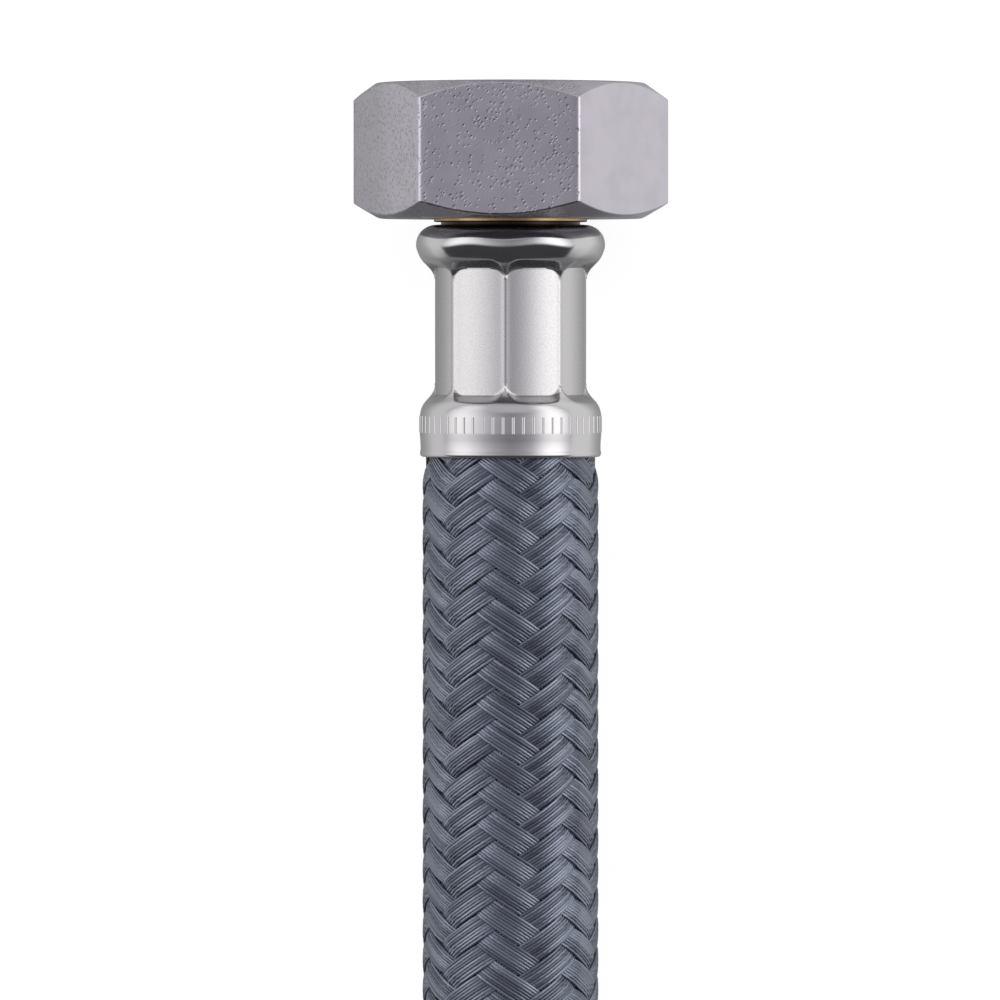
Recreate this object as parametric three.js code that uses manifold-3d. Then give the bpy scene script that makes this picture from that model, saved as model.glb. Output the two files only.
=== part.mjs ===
// A short flexible water supply hose lying on a table: an inner hose inside a
// braided sleeve, with a crimped end fitting and a hexagonal swivel nut at each end.
// Millimetres, +Z up. The hose runs along Y, the nuts stand on one flat at Z = 0,
// and the origin is on the table under the middle of the hose.
import * as THREE from "three";
import { mergeVertices } from "three/addons/utils/BufferGeometryUtils.js";
import Module from "manifold-3d";

const wasm = await Module();
wasm.setup();

// Driving sizes of the whole hose
const overallLength = 300; // between the mouths of the two nuts
const acrossFlats = 30; // of the nuts
const hoseBoreRadius = 6.5; // a nominal bore of 13 mm
const insertBoreRadius = 4.6; // of the waterway through each insert

// Clearances
const runningGap = 0.3; // between pieces that turn on each other
const seatGap = 0.1; // between pieces that rest on each other
const crimpGap = 0.05; // between layers squeezed by the ferrule
const jawGap = 0.08; // between the braid and the ferrule's crimped panels
const skirtGap = 0.38; // between the braid and the ferrule's skirt
const flangeGap = 0.36; // between the insert's flange and the crests of the nut's thread
const hoseEndGap = 0.3; // between the insert's shoulder and the cut end of the hose
const rimGap = 0.3; // bare groove between the insert's neck and the ferrule

// Swivel nut, measured from its mouth along the hose
const nutLength = 14.8;
const nutWebThickness = 3.1; // the collar that pulls on the insert's flange
const threadMinorRadius = 12.06; // G 3/4 thread, crests of the female thread
const threadDepth = 1.24; // of the relief behind the thread
const threadReliefLength = 2.4;
const mouthChamferDepth = 1.2;
const mouthChamferWidth = 1.34;

// Outer chamfers of the nut: how far inside the flats each starts on its end face, and its slope
const mouthBevel = { inset: 0.15, degrees: 36 };
const backBevel = { inset: 0.6, degrees: 32 };

// Insert: flange, neck and barbed tail, all one turned piece
const flangeThickness = 2.5;
const spigotRadius = 7.6; // where the ferrule's rim sits
const spigotLength = 1.45;
const neckStep = 0.77; // from the spigot out to the neck
const neckShowing = 0.35; // neck length left bare behind the nut
const tailWall = 0.75;
const tailPast = 1.15; // how far the tail reaches past the crimped panels
const barbHeight = 0.4;
const barbPitch = 4.2;
const edgeBreak = 0.3; // small chamfer on turned edges

// Flat sealing washer inside the nut
const washerThickness = 2;
const washerWidth = 3.5;

// Hose layers
const hoseWall = 2.45;
const hoseCrimpedWall = 1.32;
const braidThickness = 0.55;
const braidCrimpedThickness = 0.3;
const beadSqueeze = 0.3; // how far the layers are pressed in inside the bead
const skirtSqueeze = 0.4; // and inside the skirt
const squeezeLength = 2.6; // over which they swell again outside the skirt
const layerLead = 0.4; // how far ahead of the ferrule's own slopes the layers bend

// Ferrule: a thin cup with a rounded closed end, crimped in the middle by eight jaws
const ferruleWall = 0.4;
const ferruleLip = 0.13; // rounding of the skirt's outer edge
const ferruleLength = 25.3;
const beadRise = 0.39; // how far the bead stands out past the skirt
const beadCorner = 2.2; // rounding of the closed end
const beadCrown = 0.4; // length of the full bead past its rounding
const skirtWaist = 0.1; // how far the skirt steps in past its band
const skirtWaistLength = 2.6;
const skirtStep = 0.4;
const jawCount = 8;
const jawCurveRadius = 14; // the panels are slightly domed
const ridgeHeight = 0.1;
const ridgeWidth = 0.34;
const ridgeNearDegrees = 2;
const ridgeFarDegrees = 12;
const crimpPhaseDegrees = 0.7; // turns the ridges about the hose axis

// Where the panels and the ridges between them dip in and come out, from the ferrule's rim
const crimpPanel = { start: 3.45, full: 4.7, back: ferruleLength - 6.8, end: ferruleLength - 5.9 };
const crimpRidge = { start: 2.3, full: 5.8, back: ferruleLength - 7.6, end: ferruleLength - 4.7 };

const overcut = 1; // how far a cutting shape runs past the faces it cuts

// How finely round things are cut
const roundSteps = 32;
const nutSteps = 48;
const beadSteps = 4;

// Radii, from the bore outwards
const tailRootRadius = insertBoreRadius + tailWall;
const gripRadius = tailRootRadius + barbHeight + crimpGap;
const hoseCrimpedRadius = gripRadius + hoseCrimpedWall;
const jawFaceRadius = hoseCrimpedRadius + crimpGap + braidCrimpedThickness + jawGap + ferruleWall;
const hoseRadius = hoseBoreRadius + hoseWall;
const braidRadius = hoseRadius + crimpGap + braidThickness;
const skirtRadius = braidRadius - skirtSqueeze + skirtGap + ferruleWall;
const beadRadius = skirtRadius + beadRise;
const neckRadius = spigotRadius + neckStep;
const flangeRadius = threadMinorRadius - flangeGap;
const nutCornerRadius = acrossFlats / Math.sqrt(3);
const axisHeight = acrossFlats / 2;

// Places along the fitting, counted from the nut's mouth
const webStart = nutLength - nutWebThickness;
const flangeBack = webStart - runningGap;
const flangeFront = flangeBack - flangeThickness;
const washerBack = flangeFront - seatGap;
const washerFront = washerBack - washerThickness;
const neckEnd = nutLength + neckShowing;
const rimAt = neckEnd + rimGap;
const spigotEnd = neckEnd + spigotLength;
const hoseStart = spigotEnd + hoseEndGap;
const tailEnd = rimAt + crimpPanel.end + tailPast;
const ferruleEnd = rimAt + ferruleLength;
const beadEnd = beadCorner + beadCrown; // from the rim, as the next
const skirtBandEnd = ferruleLength - skirtWaistLength;

const smooth = (value, from, to) => THREE.MathUtils.smoothstep(value, from, to);
const radians = THREE.MathUtils.degToRad;

const finishes = {
  nickel: new THREE.MeshStandardMaterial({ color: "#a8a5ad", roughness: 0.28, metalness: 1 }),
  steel: new THREE.MeshStandardMaterial({ color: "#c6c4c6", roughness: 0.22, metalness: 1 }),
  brass: new THREE.MeshStandardMaterial({ color: "#c99a52", roughness: 0.3, metalness: 1 }),
  rubber: new THREE.MeshStandardMaterial({ color: "#1b1c1e", roughness: 0.8, metalness: 0 }),
  seal: new THREE.MeshStandardMaterial({ color: "#24262a", roughness: 0.7, metalness: 0 }),
  braid: new THREE.MeshStandardMaterial({ color: "#5c606c", roughness: 0.38, metalness: 0 }),
};

// A solid turned about Y from the [radius, place along the fitting] pairs round its section.
// A section that doesn't start on the axis is closed into a ring.
function turned(section, steps = roundSteps) {
  const points = section.map(([radius, along]) => new THREE.Vector2(radius, -along));
  if (THREE.ShapeUtils.area(points) < 0) points.reverse();
  if (points[0].x > 0) points.push(points[0].clone());
  return new THREE.LatheGeometry(points, steps);
}

// A three.js geometry as a solid that can be cut and joined.
function solid(geometry) {
  const bare = geometry.index ? geometry.toNonIndexed() : geometry.clone();
  bare.deleteAttribute("normal");
  bare.deleteAttribute("uv");
  const merged = mergeVertices(bare, 1e-3);
  return new wasm.Manifold(
    new wasm.Mesh({
      numProp: 3,
      vertProperties: new Float32Array(merged.attributes.position.array),
      triVerts: new Uint32Array(merged.index.array),
    }),
  );
}

// The cut or joined solid as a three.js geometry again.
function geometryOf(made) {
  const mesh = made.getMesh();
  const positions = new Float32Array(mesh.numVert * 3);
  for (let i = 0; i < mesh.numVert; i++) {
    const from = i * mesh.numProp;
    positions.set(mesh.vertProperties.subarray(from, from + 3), i * 3);
  }
  return new THREE.BufferGeometry()
    .setAttribute("position", new THREE.BufferAttribute(positions, 3))
    .setIndex(new THREE.BufferAttribute(new Uint32Array(mesh.triVerts), 1));
}

// Hexagonal bar cut to length, chamfered at both ends, then bored for thread and neck.
function nutGeometry() {
  const hexagon = new THREE.Shape();
  for (let corner = 0; corner < 6; corner++) {
    const angle = radians(60 * corner);
    const x = nutCornerRadius * Math.cos(angle);
    const y = nutCornerRadius * Math.sin(angle);
    corner ? hexagon.lineTo(x, y) : hexagon.moveTo(x, y);
  }
  const bar = new THREE.ExtrudeGeometry(hexagon, { depth: nutLength, bevelEnabled: false });
  bar.rotateX(Math.PI / 2);
  const past = nutCornerRadius + overcut;
  const circleRadius = (bevel) => acrossFlats / 2 - bevel.inset;
  const bevelDepth = (bevel) => (past - circleRadius(bevel)) * Math.tan(radians(bevel.degrees));
  const turning = turned(
    [
      [0, 0],
      [circleRadius(mouthBevel), 0],
      [past, bevelDepth(mouthBevel)],
      [past, nutLength - bevelDepth(backBevel)],
      [circleRadius(backBevel), nutLength],
      [0, nutLength],
    ],
    nutSteps,
  );
  const neckHole = neckRadius + runningGap;
  const reliefStart = webStart - threadReliefLength;
  const bore = turned(
    [
      [0, -overcut],
      [threadMinorRadius + mouthChamferWidth, -overcut],
      [threadMinorRadius + mouthChamferWidth, 0],
      [threadMinorRadius, mouthChamferDepth],
      [threadMinorRadius, reliefStart - threadDepth],
      [threadMinorRadius + threadDepth, reliefStart],
      [threadMinorRadius + threadDepth, webStart],
      [neckHole, webStart],
      [neckHole, nutLength - edgeBreak],
      [neckHole + edgeBreak + overcut, nutLength + overcut],
      [0, nutLength + overcut],
    ],
    nutSteps,
  );
  return geometryOf(solid(bar).intersect(solid(turning)).subtract(solid(bore)));
}

function insertGeometry() {
  const barbs = [];
  const barbCount = Math.floor((tailEnd - edgeBreak - spigotEnd) / barbPitch);
  const firstBarb = tailEnd - edgeBreak - barbCount * barbPitch;
  for (let barb = 0; barb < barbCount; barb++) {
    const start = firstBarb + barb * barbPitch;
    barbs.push([tailRootRadius + barbHeight, start], [tailRootRadius, start + barbPitch]);
  }
  return turned(
    [
      [insertBoreRadius + edgeBreak, flangeFront],
      [flangeRadius - edgeBreak, flangeFront],
      [flangeRadius, flangeFront + edgeBreak],
      [flangeRadius, flangeBack],
      [neckRadius, flangeBack],
      [neckRadius, neckEnd],
      [spigotRadius, neckEnd],
      [spigotRadius, spigotEnd],
      [tailRootRadius, spigotEnd],
      [tailRootRadius, firstBarb],
      ...barbs,
      [tailRootRadius - edgeBreak, tailEnd],
      [insertBoreRadius, tailEnd],
      [insertBoreRadius, flangeFront + edgeBreak],
    ],
  );
}

function washerGeometry() {
  return turned(
    [
      [flangeRadius - washerWidth, washerFront],
      [flangeRadius, washerFront],
      [flangeRadius, washerBack],
      [flangeRadius - washerWidth, washerBack],
    ],
  );
}

// Radius of the ferrule before crimping, by the distance from its rim.
function cupRadius(along) {
  if (along < beadCorner) {
    const rise = Math.sqrt(Math.max(0, beadCorner ** 2 - (beadCorner - along) ** 2));
    return beadRadius - beadCorner + rise;
  }
  const bead = beadRise * (1 - smooth(along, beadEnd, crimpPanel.full));
  const waist = skirtWaist * smooth(along, skirtBandEnd, skirtBandEnd + skirtStep);
  return skirtRadius + bead - waist;
}

// Radius that the jaws leave, by the angle from the nearest ridge.
function jawRadius(fromRidge) {
  const fromMiddle = Math.PI / jawCount - fromRidge;
  const setBack = jawCurveRadius - jawFaceRadius;
  const dome = Math.sqrt(jawCurveRadius ** 2 - (setBack * Math.sin(fromMiddle)) ** 2);
  const ridge = ridgeHeight * Math.exp(-(((fromRidge * jawFaceRadius) / ridgeWidth) ** 2));
  return dome - setBack * Math.cos(fromMiddle) + ridge;
}

function ferruleRadius(along, angle) {
  const pitch = (2 * Math.PI) / jawCount;
  const turn = angle - radians(crimpPhaseDegrees);
  const fromRidge = Math.abs(turn - pitch * Math.round(turn / pitch));
  const ridge = 1 - smooth(fromRidge, radians(ridgeNearDegrees), radians(ridgeFarDegrees));
  const at = (key) => THREE.MathUtils.lerp(crimpPanel[key], crimpRidge[key], ridge);
  const into = smooth(along, at("start"), at("full"));
  const out = smooth(along, at("back"), at("end"));
  const round = cupRadius(along);
  return THREE.MathUtils.lerp(round, Math.min(round, jawRadius(fromRidge)), into * (1 - out));
}

// Places along the ferrule, from its rim, where its outer and its inner face get points.
function ferruleStations() {
  const middle = (zone, from, to) => (zone[from] + zone[to]) / 2;
  const corner = [];
  for (let step = 0; step <= beadSteps; step++) {
    corner.push(beadCorner * (1 - Math.cos((step / beadSteps) * (Math.PI / 2))));
  }
  const { start, full, back, end } = crimpPanel;
  const ridge = crimpRidge;
  const into = [beadEnd, start, middle(crimpPanel, "start", "full"), full, ridge.full];
  const out = [ridge.back, back, middle(crimpPanel, "back", "end"), end, ridge.end];
  const skirt = [skirtBandEnd, skirtBandEnd + skirtStep, ferruleLength - ferruleLip, ferruleLength];
  const insideOut = [ferruleLength, ridge.end, end, back, ridge.back];
  const insideInto = [ridge.full, full, start, beadEnd, beadCorner];
  return { outside: [...corner, ...into, ...out, ...skirt], inside: [...insideOut, ...insideInto] };
}

function ferruleAngles() {
  const pitch = 360 / jawCount;
  const near = ridgeNearDegrees;
  const flank = (ridgeNearDegrees + ridgeFarDegrees) / 2;
  const offsets = [0, near, flank, pitch / 2, pitch - flank, pitch - near];
  const angles = [];
  for (let jaw = 0; jaw < jawCount; jaw++) {
    for (const offset of offsets) angles.push(radians(crimpPhaseDegrees + jaw * pitch + offset));
  }
  return angles;
}

// The crimped cup: rings of points up the inside and down the outside, skinned into a closed wall.
function ferruleGeometry() {
  const angles = ferruleAngles();
  const { outside, inside } = ferruleStations();
  const holeRadius = spigotRadius + seatGap;
  const rings = [];
  const addRing = (radiusAt, along) => rings.push(angles.map((angle) => [radiusAt(angle), along, angle]));
  addRing(() => holeRadius, 0);
  for (const along of outside) {
    const lip = along === ferruleLength ? ferruleLip : 0;
    addRing((angle) => ferruleRadius(along, angle) - lip, along);
  }
  for (const along of inside) {
    addRing((angle) => ferruleRadius(along, angle) - ferruleWall, along);
  }
  const innerCorner = beadCorner - ferruleWall;
  for (const degrees of [45, 0]) {
    const rise = innerCorner * Math.sin(radians(degrees));
    addRing(() => beadRadius - beadCorner + rise, beadCorner - innerCorner * Math.cos(radians(degrees)));
  }
  addRing(() => holeRadius, ferruleWall);

  const positions = [];
  for (const ring of rings) {
    for (const [radius, along, angle] of ring) {
      positions.push(radius * Math.sin(angle), -(rimAt + along), radius * Math.cos(angle));
    }
  }
  const count = angles.length;
  const faces = [];
  for (let ring = 0; ring < rings.length; ring++) {
    const next = (ring + 1) % rings.length;
    for (let step = 0; step < count; step++) {
      const beside = (step + 1) % count;
      const a = ring * count + step;
      const b = ring * count + beside;
      const c = next * count + beside;
      const d = next * count + step;
      faces.push(a, d, c, a, c, b);
    }
  }
  return new THREE.BufferGeometry()
    .setAttribute("position", new THREE.Float32BufferAttribute(positions, 3))
    .setIndex(faces);
}

// Outer radius of a hose layer along one half of the hose, as [radius, place] pairs:
// swollen in the bead, squeezed by the jaws, held by the skirt, free after that.
function layerOutline(free, crimped) {
  const held = free - skirtSqueeze;
  return [
    [free - beadSqueeze, hoseStart],
    [free - beadSqueeze, rimAt + crimpRidge.start - layerLead],
    [crimped, rimAt + crimpPanel.full - layerLead],
    [crimped, rimAt + crimpPanel.back + layerLead],
    [held, rimAt + crimpRidge.end + layerLead],
    [held, ferruleEnd],
    [free, ferruleEnd + squeezeLength],
  ];
}

// Both halves of an outline, mirrored about the middle of the hose, from one end to the other.
function bothHalves(outline) {
  const mirrored = outline.map(([radius, along]) => [radius, overallLength - along]).reverse();
  return [...outline, ...mirrored];
}

function layerGeometry(inner, outer) {
  const shape = turned([...bothHalves(inner), ...bothHalves(outer).reverse()]);
  shape.translate(0, overallLength / 2, 0);
  return shape;
}

function hoseGeometry() {
  const inner = [
    [hoseBoreRadius, hoseStart],
    [hoseBoreRadius, rimAt + crimpPanel.start],
    [gripRadius, rimAt + crimpPanel.full],
    [gripRadius, rimAt + crimpPanel.back],
    [hoseBoreRadius, rimAt + crimpPanel.end],
  ];
  return layerGeometry(inner, layerOutline(hoseRadius, hoseCrimpedRadius));
}

function braidGeometry() {
  const free = hoseRadius + crimpGap;
  const crimped = hoseCrimpedRadius + crimpGap;
  const inner = layerOutline(free, crimped);
  const outer = layerOutline(free + braidThickness, crimped + braidCrimpedThickness);
  return layerGeometry(inner, outer);
}

function part(name, geometry, finish) {
  const mesh = new THREE.Mesh(geometry, finish);
  mesh.name = name;
  return mesh;
}

// One end: its own frame has the nut's mouth at Y = 0 and the hose running towards -Y.
function endFitting(end) {
  const fitting = new THREE.Group();
  fitting.add(part(`swivel_nut_${end}`, nutGeometry(), finishes.nickel));
  fitting.add(part(`sealing_washer_${end}`, washerGeometry(), finishes.seal));
  fitting.add(part(`hose_insert_${end}`, insertGeometry(), finishes.brass));
  fitting.add(part(`crimp_ferrule_${end}`, ferruleGeometry(), finishes.steel));
  return fitting;
}

const hose = new THREE.Group();
hose.add(part("inner_hose", hoseGeometry(), finishes.rubber));
hose.add(part("braided_sleeve", braidGeometry(), finishes.braid));

const nearEnd = endFitting("a");
nearEnd.position.y = overallLength / 2;
hose.add(nearEnd);

const farEnd = endFitting("b");
farEnd.position.y = -overallLength / 2;
farEnd.rotation.z = Math.PI;
hose.add(farEnd);

hose.position.z = axisHeight;

const model = new THREE.Group();
model.add(hose);

export default model;
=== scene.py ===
# Flexible supply hose lying on a pale table: braided hose, crimped ferrules, swivel nuts.
import bpy
import bmesh
import math
from mathutils import Matrix, Vector


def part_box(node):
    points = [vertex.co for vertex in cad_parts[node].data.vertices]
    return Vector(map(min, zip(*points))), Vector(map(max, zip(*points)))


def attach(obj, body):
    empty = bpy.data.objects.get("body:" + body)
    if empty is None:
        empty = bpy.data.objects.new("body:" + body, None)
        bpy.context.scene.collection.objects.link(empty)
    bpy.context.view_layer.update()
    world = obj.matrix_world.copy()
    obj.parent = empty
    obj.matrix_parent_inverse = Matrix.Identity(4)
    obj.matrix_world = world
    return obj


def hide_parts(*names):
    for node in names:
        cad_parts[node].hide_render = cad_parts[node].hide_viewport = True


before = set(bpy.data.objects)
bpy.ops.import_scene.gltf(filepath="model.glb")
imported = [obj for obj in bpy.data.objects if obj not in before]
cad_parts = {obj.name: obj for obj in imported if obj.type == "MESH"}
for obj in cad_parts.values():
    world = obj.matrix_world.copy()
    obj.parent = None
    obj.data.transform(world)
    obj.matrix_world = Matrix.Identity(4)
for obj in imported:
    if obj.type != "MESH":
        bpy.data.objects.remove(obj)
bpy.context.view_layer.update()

mm = 0.001
turnRound = 2 * math.pi
nutLow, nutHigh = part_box("swivel_nut_a")
halfLength = nutHigh[1] / mm  # from the middle of the hose to the mouth of nut a
axisHeight = (nutLow[2] + nutHigh[2]) / 2 / mm
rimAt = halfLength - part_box("crimp_ferrule_a")[1][1] / mm  # closed end of the ferrule, from the mouth
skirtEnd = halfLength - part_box("crimp_ferrule_a")[0][1] / mm
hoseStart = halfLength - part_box("inner_hose")[1][1] / mm  # cut end of the hose, from the mouth
nutEnd = halfLength - nutLow[1] / mm
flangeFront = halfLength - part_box("hose_insert_a")[1][1] / mm
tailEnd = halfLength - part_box("hose_insert_a")[0][1] / mm
print("frame loaded, the hose is", round(2 * halfLength, 2), "mm long")


def newObject(name, data):
    obj = bpy.data.objects.new(name, data)
    bpy.context.scene.collection.objects.link(obj)
    return obj


# Camera: looks down through a long lens, turned a little about the hose, and stands above the ferrule

camera = {
    "distance": 800,
    "sensor": 36,
    "pictureHeight": 109.2,  # mm of hose from the top to the bottom of the picture
    "aimAlong": 104.5,  # middle of the picture, from the middle of the hose
    "eyeAlong": 128.4,
    "aside": -1.15,
    "turnDegrees": 4.8,
}


def makeCamera():
    data = bpy.data.cameras.new("camera")
    data.sensor_width = camera["sensor"]
    data.lens = camera["sensor"] * camera["distance"] / camera["pictureHeight"]
    data.clip_start, data.clip_end = 0.05, 20
    obj = newObject("camera", data)
    turn = Matrix.Rotation(math.radians(camera["turnDegrees"]), 4, "Y")
    ahead = camera["eyeAlong"] - camera["aimAlong"]
    tilt = Matrix.Rotation(-math.atan2(ahead, camera["distance"]), 4, "X")
    aim = Vector((0, camera["aimAlong"], axisHeight))
    place = aim + turn @ Vector((camera["aside"], ahead, camera["distance"]))
    obj.matrix_world = Matrix.Translation(place * mm) @ turn @ tilt
    bpy.context.scene.camera = obj


makeCamera()
print("camera made")


# Mesh helpers. A fitting is made at end a; end b is the same mesh turned half round about Z.

halfTurn = Matrix.Rotation(math.pi, 4, "Z")


def fittingPoint(radius, along, angle):
    return Vector((
        radius * math.sin(angle) * mm,
        (halfLength - along) * mm,
        (axisHeight + radius * math.cos(angle)) * mm,
    ))


# Rings of (radius, along, angle) points, skinned into quads, the last ring joined to the first
def skinRings(rings):
    mesh = bmesh.new()
    rows = [[mesh.verts.new(fittingPoint(*point)) for point in ring] for ring in rings]
    count = len(rows[0])
    for near, far in zip(rows, rows[1:] + rows[:1]):
        for i in range(count):
            j = (i + 1) % count
            mesh.faces.new((near[i], near[j], far[j], far[i]))
    bmesh.ops.recalc_face_normals(mesh, faces=mesh.faces)
    return mesh, rows


def turnedRings(section, steps):
    angles = [turnRound * i / steps for i in range(steps)]
    return [[(radius, along, angle) for angle in angles] for radius, along in section]


def placePiece(name, mesh, material, body, node=None):
    obj = newObject(name, mesh)
    mesh.materials.clear()
    mesh.materials.append(material)
    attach(obj, body)
    if node:
        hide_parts(node)
    return obj


# The bmesh as a plain mesh, with a helper object's modifiers applied
def finishMesh(draft, name, modify=None, sharpDegrees=None):
    mesh = bpy.data.meshes.new(name)
    draft.to_mesh(mesh)
    draft.free()
    mesh.shade_smooth()
    if sharpDegrees:
        mesh.set_sharp_from_angle(angle=math.radians(sharpDegrees))
    if not modify:
        return mesh
    helper = newObject(name + "Helper", mesh)
    modify(helper)
    evaluated = helper.evaluated_get(bpy.context.evaluated_depsgraph_get())
    applied = bpy.data.meshes.new_from_object(evaluated)
    bpy.data.objects.remove(helper)
    applied.name = name
    return applied


def endPair(mesh):
    other = mesh.copy()
    other.transform(halfTurn)
    return ("a", mesh), ("b", other)


# One piece for each end, standing for the CAD node of its name
def bothEnds(name, mesh, material, bodies):
    return [placePiece(f"{name}_{end}_fine", shape, material, bodies[end], f"{name}_{end}")
            for end, shape in endPair(mesh)]


hoseBody = {"a": "hose", "b": "hose"}
nutBodies = {"a": "nut_a", "b": "nut_b"}


# 0 before start, 1 after end, smooth between
def ramp(value, start, end):
    t = max(0, min(1, (value - start) / (end - start)))
    return t * t * (3 - 2 * t)


# Shader helpers

def newSocket(tree, name, kind, default=None, output=False):
    side = "OUTPUT" if output else "INPUT"
    socket = tree.interface.new_socket(name=name, in_out=side, socket_type=kind)
    if default is not None:
        socket.default_value = default
    return socket


def feed(tree, socket, value):
    if isinstance(value, bpy.types.NodeSocket):
        tree.links.new(value, socket)
    else:
        socket.default_value = value


# Feeds inputs by socket name, with spaces left out
def paint(tree, node, **inputs):
    for key, value in inputs.items():
        found = [s for s in node.inputs if s.name.replace(" ", "") == key and s.enabled]
        feed(tree, found[0], value)


def addNode(tree, kind, settings=None, **inputs):
    node = tree.nodes.new(kind)
    for key, value in (settings or {}).items():
        setattr(node, key, value)
    paint(tree, node, **inputs)
    return node


# The first output of such a node
def nodeOut(*given, **inputs):
    return addNode(*given, **inputs).outputs[0]


def calc(tree, operation, *values, kind="ShaderNodeMath"):
    node = tree.nodes.new(kind)
    node.operation = operation
    for socket, value in zip(node.inputs, values):
        feed(tree, socket, value)
    return node.outputs[0]


def times(tree, first, second):
    return calc(tree, "MULTIPLY", first, second)


def plus(tree, first, second):
    return calc(tree, "ADD", first, second)


def mapRange(tree, value, fromMin, fromMax, toMin=0.0, toMax=1.0, smooth=True):
    node = tree.nodes.new("ShaderNodeMapRange")
    node.interpolation_type = "SMOOTHSTEP" if smooth else "LINEAR"
    for socket, given in zip(node.inputs, (value, fromMin, fromMax, toMin, toMax)):
        feed(tree, socket, given)
    return node.outputs[0]


def blendValues(tree, share, first, second):
    return mapRange(tree, share, 0.0, 1.0, first, second, smooth=False)


def mixColours(tree, factor, first, second):
    node = tree.nodes.new("ShaderNodeMix")
    node.data_type = "RGBA"
    sockets = [s for s in node.inputs if s.enabled]
    for socket, value in zip(sockets, (factor, first, second)):
        feed(tree, socket, value)
    return [s for s in node.outputs if s.enabled][0]


def newMaterial(name, **plain):
    material = bpy.data.materials.new(name)
    material.use_nodes = True
    tree = material.node_tree
    shader = tree.nodes["Principled BSDF"]
    paint(tree, shader, **plain)
    return material, tree, shader


def objectPoint(tree):
    return tree.nodes.new("ShaderNodeTexCoord").outputs["Object"]


def objectParts(tree):
    return addNode(tree, "ShaderNodeSeparateXYZ", Vector=objectPoint(tree)).outputs


def colour(red, green, blue):
    return (red, green, blue, 1)


# Shared effect: fine grain, out as a height and a mask that change over the surface

def makeGrainGroup():
    tree = bpy.data.node_groups.new("metalGrain", "ShaderNodeTree")
    newSocket(tree, "Vector", "NodeSocketVector")
    newSocket(tree, "Grain Scale", "NodeSocketFloat", 4000)
    newSocket(tree, "Stretch", "NodeSocketFloat", 1)
    newSocket(tree, "Height", "NodeSocketFloat", output=True)
    newSocket(tree, "Patches", "NodeSocketFloat", output=True)
    given = tree.nodes.new("NodeGroupInput").outputs
    combine = nodeOut(tree, "ShaderNodeCombineXYZ", X=1.0, Y=given["Stretch"], Z=1.0)
    stretched = calc(tree, "MULTIPLY", given["Vector"], combine, kind="ShaderNodeVectorMath")
    fine = nodeOut(tree, "ShaderNodeTexNoise", Vector=stretched, Scale=given["Grain Scale"], Detail=3.0)
    coarseScale = times(tree, given["Grain Scale"], 0.06)
    coarse = nodeOut(tree, "ShaderNodeTexNoise", Vector=stretched, Scale=coarseScale, Detail=2.0)
    patches = mapRange(tree, coarse, 0.35, 0.65)
    addNode(tree, "NodeGroupOutput", Height=fine, Patches=patches)
    return tree


grainGroup = makeGrainGroup()


def useGrain(tree, scale, stretch=1.0):
    return addNode(tree, "ShaderNodeGroup", {"node_tree": grainGroup}, Vector=objectPoint(tree),
                   GrainScale=scale, Stretch=stretch).outputs


def bumpFrom(tree, height, strength, distance):
    return nodeOut(tree, "ShaderNodeBump", Height=height, Strength=strength, Distance=distance)


# Materials

nutFinish = {
    "plate": colour(0.51, 0.482, 0.53),
    "plateDull": colour(0.465, 0.44, 0.482),
    "castDark": colour(0.30, 0.283, 0.31),  # the faces that the forge left rough and pitted; their darker colour is also painted shade on that side
    "castLight": colour(0.45, 0.428, 0.468),
    "pitScale": 2900.0,
    "pitStretch": 1.5,
    "pitSlantDegrees": 50,
    "pitDepth": 0.000036,
    "faceEdge": 8.7,  # where the middle face ends, aside from the axis
    "edgeBlur": 0.3,
    "grainyFrom": 11.5,  # the outer half of a rough face is the grainier, and painted darker there: painted shade
    "grainyTo": 15.0,
    "fewPits": 0.42,  # pits come in loose clusters: how little of them is cut away, and how much
    "manyPits": 0.18,
    "skin": (0.14, 0.6),  # height of the fine grain, on a plain face and on a grainy one
    "sheen": (0.2, 0.27),
    "rougherBy": 0.14,
}


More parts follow.
